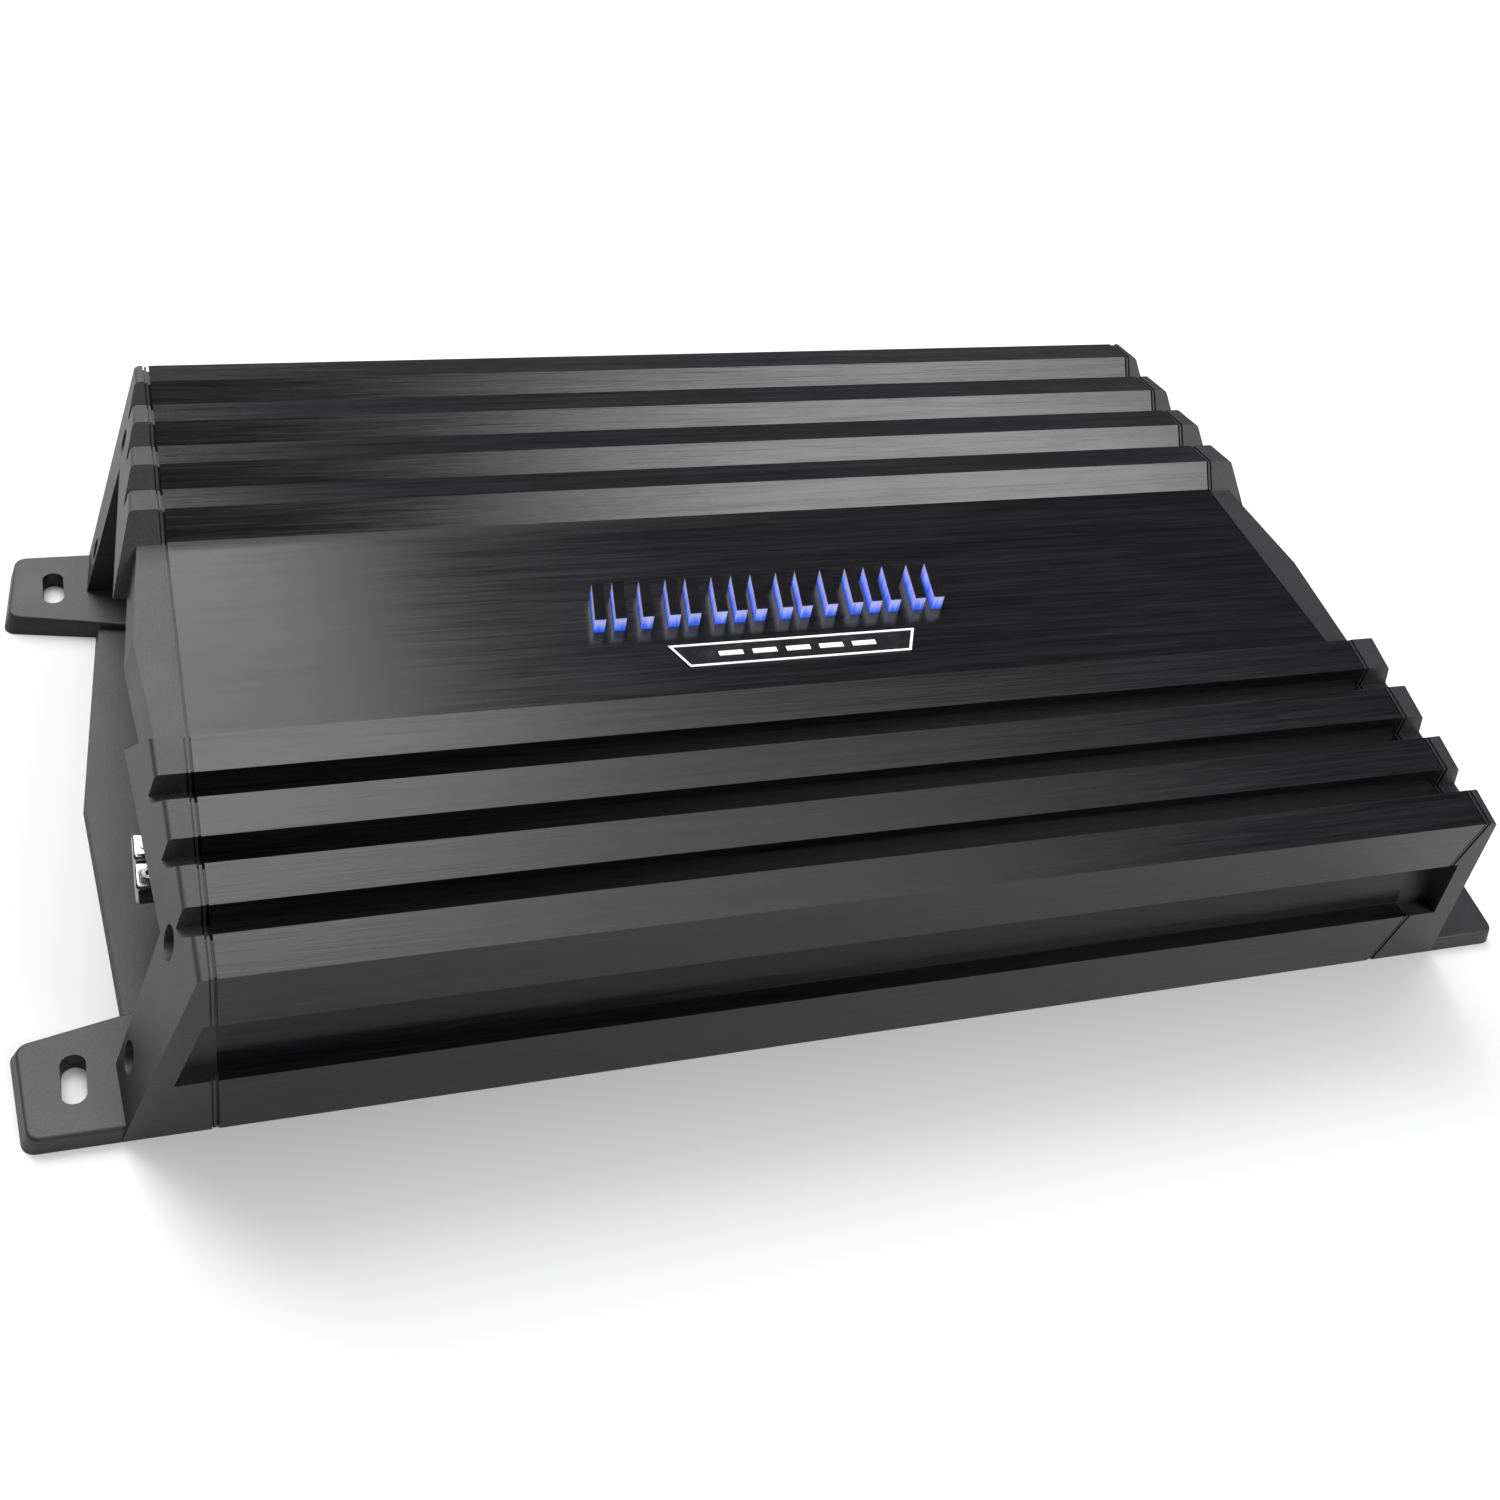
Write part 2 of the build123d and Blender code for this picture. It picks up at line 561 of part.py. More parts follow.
def terminal_block(y_range):
    """A moulded block with a foot on the main board."""
    block((-BASE_OUTER_X, -BASE_INNER_X), y_range, BASE_Z)
    block((-BASE_INNER_X, -BASE_FOOT_X), y_range, (PCB_TOP, PCB_TOP + 2))


def barrel_seat(y, radius):
    """The hole through a block that holds one barrel."""
    rod((-BASE_OUTER_X - 1, -BASE_INNER_X + 1), y, PORT_Z, radius + TERMINAL_FIT, Mode.SUBTRACT)


REMOTE_BARREL = (REMOTE_RADIUS, REMOTE_BORE, SPEAKER_END_X, 1.2)
SPEAKER_BARREL = (SPEAKER_RADIUS, SPEAKER_BORE, SPEAKER_END_X, 1.5)
SUPPLY_TOP_Z = PORT_Z + SUPPLY_HALF_Z

with BuildPart() as power_terminals:
    for y in SUPPLY_YS:
        block((-SUPPLY_END_X, -TERMINAL_INNER_X), (y - SUPPLY_HALF_Y, y + SUPPLY_HALF_Y),
              (PORT_Z - SUPPLY_HALF_Z, SUPPLY_TOP_Z))
    fillet(power_terminals.edges().filter_by(Axis.X), radius=SUPPLY_ROUND)
    fillet(power_terminals.faces().group_by(Axis.X)[0].edges(), radius=0.9)
    for y in SUPPLY_YS:
        rod((-SUPPLY_END_X - 1, -BORE_END_X), y, PORT_Z, SUPPLY_BORE, Mode.SUBTRACT)
        post(-SUPPLY_SCREW_X, y, (PORT_Z, SUPPLY_TOP_Z + 1), SUPPLY_SCREW + 0.08, Mode.SUBTRACT)
    rims = power_terminals.edges().filter_by(GeomType.CIRCLE).group_by(Axis.X)[0]
    chamfer(rims.filter_by(lambda e: e.radius > SUPPLY_BORE - 0.1), length=0.4)
nodes["power_terminals"] = power_terminals

with BuildPart() as remote_terminal:
    barrel(REMOTE_Y, *REMOTE_BARREL)
    chamfer(remote_terminal.edges().filter_by(GeomType.CIRCLE).group_by(Axis.X)[0], length=0.4)
nodes["remote_terminal"] = remote_terminal

with BuildPart() as speaker_terminals:
    for y in SPEAKER_YS:
        barrel(y, *SPEAKER_BARREL)
    chamfer(speaker_terminals.edges().filter_by(GeomType.CIRCLE).group_by(Axis.X)[0], length=0.5)
nodes["speaker_terminals"] = speaker_terminals

with BuildPart() as power_set_screws:
    for y in SUPPLY_YS:
        post(-SUPPLY_SCREW_X, y, (PORT_Z + SUPPLY_BORE + 0.1, SUPPLY_TOP_Z + 0.2), SUPPLY_SCREW)
        post(-SUPPLY_SCREW_X, y, (SUPPLY_TOP_Z - 0.6, SUPPLY_TOP_Z + 1), SUPPLY_SCREW * 0.55, Mode.SUBTRACT)
nodes["power_set_screws"] = power_set_screws

with BuildPart() as speaker_set_screws:
    for y in SPEAKER_YS:
        set_screw(y, *SPEAKER_BARREL)
    set_screw(REMOTE_Y, *REMOTE_BARREL)
nodes["speaker_set_screws"] = speaker_set_screws

with BuildPart() as power_terminal_base:
    terminal_block(SUPPLY_BLOCK_Y)
    terminal_block(REMOTE_BLOCK_Y)
    barrel_seat(REMOTE_Y, REMOTE_RADIUS)
    seat_y = SUPPLY_HALF_Y + TERMINAL_FIT
    seat_z = SUPPLY_HALF_Z + TERMINAL_FIT
    for y in SUPPLY_YS:
        block((-BASE_OUTER_X - 1, -BASE_INNER_X + 1), (y - seat_y, y + seat_y),
              (PORT_Z - seat_z, PORT_Z + seat_z), Mode.SUBTRACT)
nodes["power_terminal_base"] = power_terminal_base

with BuildPart() as speaker_terminal_base:
    for y in SPEAKER_YS:
        terminal_block((y - SPEAKER_BLOCK_HALF, y + SPEAKER_BLOCK_HALF))
        barrel_seat(y, SPEAKER_RADIUS)
nodes["speaker_terminal_base"] = speaker_terminal_base

with BuildPart() as bus_bars:
    for y in SUPPLY_YS + (REMOTE_Y,) + SPEAKER_YS:
        width = (y - BUS_BAR_HALF, y + BUS_BAR_HALF)
        block((-TERMINAL_INNER_X, -TERMINAL_INNER_X + BUS_BAR), width, (PCB_TOP + 2, PORT_Z + 1.5))
        block((-TERMINAL_INNER_X, -BASE_FOOT_X + 3), width, (PCB_TOP + 2, PCB_TOP + 2 + BUS_BAR))
        block((-BASE_FOOT_X + 3 - BUS_BAR, -BASE_FOOT_X + 3), width, (PCB_TOP, PCB_TOP + 2))
nodes["bus_bars"] = bus_bars

with BuildPart() as fuse_holder:
    block((-BASE_OUTER_X, -BASE_INNER_X), (FUSE_YS[0] - 4, FUSE_YS[-1] + 4), (FUSE_Z - 9, FUSE_Z + 9))
    block((-BASE_INNER_X, -BASE_FOOT_X), (FUSE_YS[0] - 4, FUSE_YS[-1] + 4), (PCB_TOP, PCB_TOP + 2))
    for y in FUSE_YS:
        block((-BASE_OUTER_X - 1, -BASE_OUTER_X + 10), (y - 2.1, y + 2.1), (FUSE_Z - 7.6, FUSE_Z + 7.6),
              Mode.SUBTRACT)
nodes["fuse_holder"] = fuse_holder

with BuildPart() as blade_fuses:
    for y in FUSE_YS:
        block((-BASE_OUTER_X - 4.5, -BASE_OUTER_X + 4), (y - 1.9, y + 1.9), (FUSE_Z - 7.2, FUSE_Z + 7.2))
nodes["blade_fuses"] = blade_fuses

with BuildPart() as fuse_blades:
    for y in FUSE_YS:
        for z in (FUSE_Z - 4.8, FUSE_Z + 4.8):
            block((-BASE_OUTER_X + 4, -BASE_OUTER_X + 9.8), (y - 0.4, y + 0.4), (z - 2, z + 2))
nodes["fuse_blades"] = fuse_blades

# ---- signal sockets ----
with BuildPart() as rca_housing:
    block((125, 139.8), (RCA_YS[0] - 9, RCA_YS[1] + 9), (RCA_ZS[0] - 7, RCA_ZS[1] + 7))
    block((114, 125), (RCA_YS[0] - 9, RCA_YS[1] + 9), (PCB_TOP, PCB_TOP + 6))
    for y in RCA_YS:
        for z in RCA_ZS:
            rod((RCA_INNER_X, 141), y, z, RCA_RADIUS + 0.05, Mode.SUBTRACT)
            rod((124, 141), y, z, 1.25, Mode.SUBTRACT)
nodes["rca_housing"] = rca_housing

with BuildPart() as rca_shells:
    for y in RCA_YS:
        for z in RCA_ZS:
            rod((RCA_INNER_X, RCA_END_X), y, z, RCA_RADIUS)
            rod((SEAM_X + END_PANEL, SEAM_X + END_PANEL + 1.1), y, z, 5.9)
            rod((RCA_INNER_X - 1, RCA_END_X + 1), y, z, RCA_RADIUS - 0.75, Mode.SUBTRACT)
    rims = rca_shells.edges().filter_by(GeomType.CIRCLE).group_by(Axis.X)[-1]
    chamfer(rims.filter_by(lambda e: e.radius > RCA_RADIUS - 0.2), length=0.35)
nodes["rca_shells"] = rca_shells

for colour, y in zip(("white", "red"), RCA_YS):
    with BuildPart() as rca_insulator:
        for z in RCA_ZS:
            rod((RCA_INNER_X, RCA_END_X - 0.4), y, z, RCA_RADIUS - 0.8)
            rod((RCA_INNER_X - 1, RCA_END_X + 1), y, z, RCA_PIN_BORE, Mode.SUBTRACT)
    nodes[f"rca_insulators_{colour}"] = rca_insulator

# ---- controls ----
with BuildPart() as potentiometers:
    for y in KNOBS.values():
        block((CONTROL_BOARD_X[1], POT_FRONT_X), (y - 5.5, y + 5.5), (KNOB_Z - 5.5, KNOB_Z + 5.5))
        rod((POT_FRONT_X, BUSH_X), y, KNOB_Z, 3.8)
        rod((SHAFT_X[0] - 0.3, BUSH_X + 1), y, KNOB_Z, SHAFT_RADIUS + SHAFT_CLEARANCE, Mode.SUBTRACT)
nodes["potentiometers"] = potentiometers

for name, y in KNOBS.items():
    with BuildPart() as shaft:
        rod(SHAFT_X, y, KNOB_Z, SHAFT_RADIUS)
    nodes[f"shaft_{name}"] = shaft
    with BuildPart() as knob:
        rod(KNOB_X, y, KNOB_Z, KNOB_RADIUS)
        rim = knob.edges().filter_by(GeomType.CIRCLE).group_by(Axis.X)[-1]
        fillet(rim, radius=0.6)
        rod((KNOB_X[0] - 1, SHAFT_X[1]), y, KNOB_Z, SHAFT_RADIUS, Mode.SUBTRACT)
        block((KNOB_X[1] - 0.6, KNOB_X[1] + 1), (y - 0.4, y + 0.4), (KNOB_Z + 0.8, KNOB_Z + 6),
              Mode.SUBTRACT)
    nodes[f"knob_{name}"] = knob

with BuildPart() as switch_frames:
    for y in SWITCHES.values():
        block((CONTROL_BOARD_X[1], 138), (y - 6, y + 6), (SWITCH_Z - 3.5, SWITCH_Z + 3.5))
        block((POT_FRONT_X, 139), (y - 4.2, y + 4.2), (SWITCH_Z - 2.3, SWITCH_Z + 2.3), Mode.SUBTRACT)
nodes["switch_frames"] = switch_frames

for name, y in SWITCHES.items():
    with BuildPart() as slider:
        low = y - SWITCH_TRAVEL / 2
        block((POT_FRONT_X + 0.3, 137.7), (low - 1.9, low + 1.9), (SWITCH_Z - 2, SWITCH_Z + 2))
        block((137.7, 143.6), (low - 1.5, low + 1.5), (SWITCH_Z - 1.5, SWITCH_Z + 1.5))
        with Locations(*[(143.6, low + step, SWITCH_Z) for step in (-0.9, 0, 0.9)]):
            Box(0.6, 0.3, 3.2, mode=Mode.SUBTRACT)
    nodes[f"slider_{name}"] = slider

with BuildPart() as remote_port:
    block((CONTROL_BOARD_X[1], SEAM_X + END_PANEL + 0.4), (REMOTE_PORT_Y - 7, REMOTE_PORT_Y + 7),
          (PCB_TOP, REMOTE_PORT_Z + 6.5))
    block((128, 150), (REMOTE_PORT_Y - 5, REMOTE_PORT_Y + 5), (REMOTE_PORT_Z - 3.4, REMOTE_PORT_Z + 3.4),
          Mode.SUBTRACT)
    block((128, 150), (REMOTE_PORT_Y - 2, REMOTE_PORT_Y + 2), (REMOTE_PORT_Z + 3, REMOTE_PORT_Z + 5.2),
          Mode.SUBTRACT)
nodes["remote_port"] = remote_port

with BuildPart() as socket_contacts:
    for y in RCA_YS:
        for z in RCA_ZS:
            rod((125, RCA_INNER_X), y, z, 1.2)
    with Locations((132.5, REMOTE_PORT_Y, REMOTE_PORT_Z - 3.2)), GridLocations(1, 1.2, 1, 4):
        Box(8.0, 0.5, 0.4)
nodes["socket_contacts"] = socket_contacts

for name, y in LAMPS.items():
    with BuildPart() as lamp:
        rod((CONTROL_BOARD_X[1], SEAM_X + END_PANEL + 0.8), y, LAMP_Z, LAMP_RADIUS)
        fillet(lamp.edges().filter_by(GeomType.CIRCLE).group_by(Axis.X)[-1], radius=0.7)
    nodes[f"indicator_{name}"] = lamp

# ---- power components ----
with BuildPart() as toroid_cores:
    for x, y in TOROIDS:
        post(x, y, (PCB_TOP + 2, PCB_TOP + 15), 19.0)
        post(x, y, (PCB_TOP + 1, PCB_TOP + 16), 12.0, Mode.SUBTRACT)
nodes["toroid_cores"] = toroid_cores

with BuildPart() as toroid_windings:
    for x, y in TOROIDS:
        with BuildSketch(Plane.XY.offset(PCB_TOP)):
            with Locations((x, y)):
                Circle(21.0)
                Circle(10.2, mode=Mode.SUBTRACT)
                with PolarLocations(15.5, 2, start_angle=90):
                    Rectangle(12.0, 5.0, mode=Mode.SUBTRACT)
        extrude(amount=17)
    fillet(toroid_windings.faces().group_by(Axis.Z)[-1].edges().filter_by(GeomType.CIRCLE), radius=1.6)
    add(toroid_cores.part, mode=Mode.SUBTRACT)
nodes["toroid_windings"] = toroid_windings

with BuildPart() as filter_capacitors:
    for x, y in CAPACITORS:
        post(x, y, (PCB_TOP, PCB_TOP + 29), CAPACITOR_RADIUS)
    fillet(filter_capacitors.edges().filter_by(GeomType.CIRCLE).group_by(Axis.Z)[-1], radius=1.0)
    for x, y in CAPACITORS:
        with Locations((x, y, PCB_TOP + 29)):
            Box(12.0, 0.5, 0.6, mode=Mode.SUBTRACT)
            Box(0.5, 12.0, 0.6, mode=Mode.SUBTRACT)
nodes["filter_capacitors"] = filter_capacitors

with BuildPart() as output_inductors:
    for x, y in INDUCTORS:
        post(x, y, (PCB_TOP, PCB_TOP + 3), 10.5)
        post(x, y, (PCB_TOP + 3, PCB_TOP + 15), 9.5)
        post(x, y, (PCB_TOP + 15, PCB_TOP + 18), 10.5)
nodes["output_inductors"] = output_inductors

with BuildPart() as driver_board:
    block((20, 74), (2.2, 3.8), (PCB_TOP, 38))
nodes["driver_board"] = driver_board

with BuildPart() as driver_chips:
    with Locations(*[(x, 5.0, z) for x in (28, 42, 56, 68) for z in (20, 31)]):
        Box(8.0, 2.4, 5.0)
nodes["driver_chips"] = driver_chips

with BuildPart() as thermal_pads:
    for side in (-1, 1):
        block((-112, 112), sorted((side * MOSFET_Y[1], side * WALL_INNER_Y)), MOSFET_Z)
    for side in (-1, 1):
        with Locations(*[Location((x, side * WALL_INNER_Y, CLAMP_Z), (90, 0, 0)) for x in CLAMP_XS]):
            Cylinder(1.5, 4.0, mode=Mode.SUBTRACT)
nodes["thermal_pads"] = thermal_pads

with BuildPart() as mosfets:
    for side in (-1, 1):
        with Locations(*[(x, side * sum(MOSFET_Y) / 2, sum(MOSFET_Z) / 2) for x in MOSFET_XS]):
            Box(10.0, MOSFET_Y[1] - MOSFET_Y[0], MOSFET_Z[1] - MOSFET_Z[0])
nodes["mosfets"] = mosfets

LEAD_TURN_Z = 18.6
LEAD_FOOT_Y = 74.0
with BuildPart() as mosfet_leads:
    for side in (-1, 1):
        with BuildSketch(Plane.YZ.offset(-0.4)) as lead_path:
            Polygon((side * 81.2, MOSFET_Z[0]), (side * 81.2, LEAD_TURN_Z),
                    (side * LEAD_FOOT_Y, LEAD_TURN_Z), (side * LEAD_FOOT_Y, PCB_TOP),
                    (side * (LEAD_FOOT_Y - 0.6), PCB_TOP),
                    (side * (LEAD_FOOT_Y - 0.6), LEAD_TURN_Z + 0.6), (side * 80.6, LEAD_TURN_Z + 0.6),
                    (side * 80.6, MOSFET_Z[0]), align=None)
        with Locations(*[(x + step, 0, 0) for x in MOSFET_XS for step in (-2.5, 0, 2.5)]):
            add(extrude(lead_path.sketch, amount=0.8, mode=Mode.PRIVATE))
nodes["mosfet_leads"] = mosfet_leads

with BuildPart() as clamp_bars:
    for side in (-1, 1):
        block((-111, 111), sorted((side * 78.0, side * MOSFET_Y[0])), (CLAMP_Z - 3, CLAMP_Z + 3))
        with Locations(*[Location((x, side * 78.7, CLAMP_Z), (90, 0, 0)) for x in CLAMP_XS]):
            Cylinder(1.4, 4.0, mode=Mode.SUBTRACT)
nodes["clamp_bars"] = clamp_bars

with BuildPart() as inner_screws:
    for x, y in STANDOFFS:
        post(x, y, (PCB_BOTTOM - 4, PCB_TOP), SCREW_RADIUS)
        post(x, y, (PCB_TOP, PCB_TOP + 1.6), SCREW_HEAD)
    for x in EAR_XS:
        post(x, BAR_CENTER_Y, (TOP_INNER_Z - 2.1, TOP_INNER_Z + 2.5), 1.2)
        post(x, BAR_CENTER_Y, (TOP_INNER_Z - 3.7, TOP_INNER_Z - 2.1), 2.4)
    for side in (-1, 1):
        with Locations(*[Location((x, side * 82.2, CLAMP_Z), (90, 0, 0)) for x in CLAMP_XS]):
            Cylinder(1.2, 8.4)
        with Locations(*[Location((x, side * 77.2, CLAMP_Z), (90, 0, 0)) for x in CLAMP_XS]):
            Cylinder(2.4, 1.6)
nodes["inner_screws"] = inner_screws

for name, builder in nodes.items():
    builder.part.label = name
    export_step(builder.part, f"parts/{name}.step")
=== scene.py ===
import json
import math

import bmesh
import bpy
from mathutils import Matrix, Vector


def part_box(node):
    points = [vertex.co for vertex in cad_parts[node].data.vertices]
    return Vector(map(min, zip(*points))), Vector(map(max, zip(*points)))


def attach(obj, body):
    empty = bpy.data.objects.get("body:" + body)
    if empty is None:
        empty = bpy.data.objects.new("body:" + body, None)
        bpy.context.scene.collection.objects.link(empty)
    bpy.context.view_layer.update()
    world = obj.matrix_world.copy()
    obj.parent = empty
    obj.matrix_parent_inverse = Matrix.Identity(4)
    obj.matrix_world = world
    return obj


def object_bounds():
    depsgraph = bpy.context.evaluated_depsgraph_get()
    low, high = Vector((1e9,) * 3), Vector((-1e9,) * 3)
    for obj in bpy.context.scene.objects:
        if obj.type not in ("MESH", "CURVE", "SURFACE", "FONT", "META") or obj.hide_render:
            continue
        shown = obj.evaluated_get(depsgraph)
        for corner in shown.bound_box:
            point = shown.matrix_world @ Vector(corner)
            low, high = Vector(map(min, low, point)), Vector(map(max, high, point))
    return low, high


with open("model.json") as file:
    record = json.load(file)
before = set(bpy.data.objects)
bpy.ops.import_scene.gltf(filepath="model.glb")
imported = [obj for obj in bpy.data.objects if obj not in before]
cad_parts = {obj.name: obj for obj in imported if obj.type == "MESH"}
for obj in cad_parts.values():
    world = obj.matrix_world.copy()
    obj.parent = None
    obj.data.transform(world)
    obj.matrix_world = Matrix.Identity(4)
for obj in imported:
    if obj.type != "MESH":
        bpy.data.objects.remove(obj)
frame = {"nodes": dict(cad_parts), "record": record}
cad_low, cad_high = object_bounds()
nodes = frame["nodes"]

MM = 0.001
CENTRE = (cad_low + cad_high) / 2

# ---- camera: the photographed view ----
CAMERA_AT = Vector((-152.85, -314.74, 330.46)) * MM
CAMERA_AZIMUTH = math.radians(23.75)  # from +Y towards +X
CAMERA_DIP = math.radians(40.72)  # below the horizon
CAMERA_ROLL = math.radians(11.65)
SENSOR = 36.0  # mm wide
LENS = 43.83  # mm
SHIFT = (0.0299, -0.0604)  # the photograph is cropped off its lens axis
CLIP = (0.01, 50.0)  # m


def add_camera():
    data = bpy.data.cameras.new("camera")
    data.sensor_width = SENSOR
    data.lens = LENS
    data.shift_x, data.shift_y = SHIFT
    data.clip_start, data.clip_end = CLIP
    forward = Vector((
        math.sin(CAMERA_AZIMUTH) * math.cos(CAMERA_DIP),
        math.cos(CAMERA_AZIMUTH) * math.cos(CAMERA_DIP),
        -math.sin(CAMERA_DIP),
    ))
    camera = bpy.data.objects.new("camera", data)
    turn = forward.to_track_quat("-Z", "Y").to_matrix() @ Matrix.Rotation(CAMERA_ROLL, 3, "Z")
    camera.matrix_world = Matrix.Translation(CAMERA_AT) @ turn.to_4x4()
    bpy.context.collection.objects.link(camera)
    bpy.context.scene.camera = camera


# ---- node helpers ----
NOISE_LOW, NOISE_HIGH = 0.3, 0.7  # most of a noise texture's values lie between these
PRINCIPLED = {
    "colour": "Base Color", "metallic": "Metallic", "roughness": "Roughness",
    "specular": "Specular IOR Level", "normal": "Normal", "coat": "Coat Weight",
    "coat_roughness": "Coat Roughness", "anisotropy": "Anisotropic",
    "turn": "Anisotropic Rotation", "tangent": "Tangent", "glow": "Emission Strength",
    "glow_colour": "Emission Color",
}


class Shader:
    """A material whose nodes are added and linked by short calls."""

    def __init__(self, name):
        self.material = bpy.data.materials.new(name)
        self.material.use_nodes = True
        self.tree = self.material.node_tree
        self.bsdf = self.tree.nodes["Principled BSDF"]

    def feed(self, socket, value):
        """Link a node's output, or set a plain value."""
        if isinstance(value, bpy.types.NodeSocket):
            self.tree.links.new(value, socket)
        elif socket.type == "RGBA":
            socket.default_value = (*value, 1.0)
        else:
            socket.default_value = value

    def node(self, kind, inputs=None, **settings):
        made = self.tree.nodes.new(kind)
        for key, value in settings.items():
            setattr(made, key, value)
        for key, value in (inputs or {}).items():
            self.feed(made.inputs[key], value)
        return made

    def place(self, stretch=(1, 1, 1)):
        """Object coordinates in metres, multiplied along each axis."""
        at = self.node("ShaderNodeTexCoord").outputs["Object"]
        return self.node("ShaderNodeMapping", {"Vector": at, "Scale": stretch}).outputs["Vector"]

    def noise(self, stretch=(1, 1, 1), scale=1.0, detail=3.0, rough=0.55):
        return self.node("ShaderNodeTexNoise", {
            "Vector": self.place(stretch), "Scale": scale, "Detail": detail, "Roughness": rough,
        }).outputs["Fac"]

    def remap(self, value, low, high, to_low, to_high):
        return self.node("ShaderNodeMapRange", {
            "Value": value, "From Min": low, "From Max": high,
            "To Min": to_low, "To Max": to_high,
        }).outputs["Result"]

    def spread(self, noise, to_low=0.0, to_high=1.0):
        """Noise, spread over a range."""
        return self.remap(noise, NOISE_LOW, NOISE_HIGH, to_low, to_high)

    def math(self, operation, a, b):
        made = self.node("ShaderNodeMath", operation=operation)
        self.feed(made.inputs[0], a)
        self.feed(made.inputs[1], b)
        return made.outputs[0]

    def blend(self, factor, dark, light):
        """A colour between two, where each may be a colour or a socket."""
        made = self.node("ShaderNodeMix", data_type="RGBA")
        self.feed(made.inputs["Factor"], factor)
        for socket, value in zip((s for s in made.inputs if s.type == "RGBA"), (dark, light)):
            self.feed(socket, value)
        return next(s for s in made.outputs if s.type == "RGBA")

    def bump(self, height, strength, distance, under=None):
        inputs = {"Height": height, "Strength": strength, "Distance": distance}
        if under is not None:
            inputs["Normal"] = under
        return self.node("ShaderNodeBump", inputs).outputs["Normal"]

    def set(self, **values):
        """Principled inputs: plain values are set on the shader's own sockets."""
        for key, value in values.items():
            self.feed(self.bsdf.inputs[PRINCIPLED[key]], value)
        return self.material


def lightened(colour, factor=1.0, added=0.0):
    return tuple(min(1.0, channel * factor + added) for channel in colour)


# ---- materials ----
def brushed_black(name):
    """Black anodised aluminium, brushed along X."""
    s = Shader(name)
    fine = s.noise((55, 2600, 2600), detail=4, rough=0.6)
    broad = s.noise((14, 420, 420), detail=3, rough=0.6)
    cloud = s.noise((9, 14, 14), detail=2)
    streaks = s.math("ADD", s.math("MULTIPLY", fine, 0.62), s.math("MULTIPLY", broad, 0.38))
    tone = s.remap(streaks, 0.36, 0.64, 0.0, 1.0)
    rough = s.math("ADD", s.remap(streaks, 0.35, 0.65, 0.16, 0.27), s.spread(cloud, -0.02, 0.03))
    normal = s.bump(fine, 0.5, 0.00005)
    normal = s.bump(broad, 0.35, 0.00009, normal)
    tangent = s.node("ShaderNodeTangent", direction_type="RADIAL", axis="X").outputs[0]
    return s.set(colour=s.blend(tone, (0.0025, 0.0025, 0.003), (0.0085, 0.0085, 0.0095)),
                 roughness=rough, specular=0.25, anisotropy=0.55, turn=0.25, tangent=tangent,
                 normal=normal)


def cast_black(name):
    """Fine textured powder coat."""
    s = Shader(name)
    grain = s.noise(scale=2300, detail=2, rough=0.5)
    soft = s.noise(scale=600, rough=0.6)
    cloud = s.noise(scale=28)
    tone = s.math("ADD", s.spread(grain, 0.0, 0.7), s.spread(cloud, 0.0, 0.3))
    normal = s.bump(grain, 0.45, 0.00012)
    normal = s.bump(soft, 0.2, 0.0002, normal)
    return s.set(colour=s.blend(tone, (0.006, 0.006, 0.007), (0.020, 0.020, 0.022)),
                 roughness=s.spread(cloud, 0.48, 0.56), specular=0.42, normal=normal)


def painted(name, colour, gloss=0.42):
    """Satin paint on sheet metal, with a little orange peel and dust."""
    s = Shader(name)
    peel = s.noise(scale=420, detail=2)
    cloud = s.noise(scale=35, detail=4)
    dust = s.remap(s.noise(scale=1900, detail=1), 0.68, 0.78, 0.0, 0.12)
    tone = s.math("ADD", s.spread(cloud), dust)
    return s.set(colour=s.blend(tone, colour, lightened(colour, 1.5, 0.004)),
                 roughness=s.spread(cloud, gloss - 0.05, gloss + 0.07), specular=0.3,
                 normal=s.bump(peel, 0.15, 0.0001))


def plastic(name, colour, gloss=0.45, grain=0.3, spread=1.35):
    """Moulded plastic with a fine spark texture."""
    s = Shader(name)
    spark = s.noise(scale=3200, detail=2)
    cloud = s.noise(scale=60)
    return s.set(colour=s.blend(s.spread(cloud), colour, lightened(colour, spread)),
                 roughness=s.spread(spark, gloss - 0.06, gloss + 0.08), specular=0.4,
                 normal=s.bump(spark, grain, 0.00006))


def metal(name, dark, light, rough=(0.2, 0.36), stretch=(900, 900, 900), bump=0.2):
    """Bare or plated metal. A larger stretch along one axis gives marks that run round it."""
    s = Shader(name)
    marks = s.noise(stretch, rough=0.6)
    cloud = s.noise(scale=45, detail=4)
    tone = s.math("ADD", s.spread(marks, 0.0, 0.6), s.spread(cloud, 0.0, 0.4))
    return s.set(colour=s.blend(tone, dark, light), metallic=1.0,
                 roughness=s.spread(marks, *rough), normal=s.bump(marks, bump, 0.00004))


GLOW_RISE = 3.6 * MM  # the bars' painted glow turns from deep to pale blue over this height


def lit_acrylic(name):
    """Clear acrylic with a painted glow for the blue light from below: deep blue at its foot and
    pale towards its top.
    """
    s = Shader(name)
    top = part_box("bar_caps")[0].z
    height = s.node("ShaderNodeSeparateXYZ", {"Vector": s.place()}).outputs["Z"]
    streak = s.noise((900, 900, 60), rough=0.6)
    # painted light: the colour ramps from deep blue at the foot to pale blue at the top
    glow_ramp = s.math("ADD", s.remap(height, top - GLOW_RISE, top, 0.0, 1.0),
                  s.spread(streak, -0.22, 0.22))
    colour = s.blend(s.remap(glow_ramp, 0.15, 0.75, 0.0, 1.0), (0.012, 0.11, 0.85), (0.34, 0.38, 0.78))
    # painted glow: the bars emit their own colour, standing in for the LED light beneath them
    return s.set(colour=colour, glow_colour=colour, glow=s.spread(streak, 0.32, 0.62),
                 roughness=0.07, specular=0.6, coat=0.6, coat_roughness=0.03)


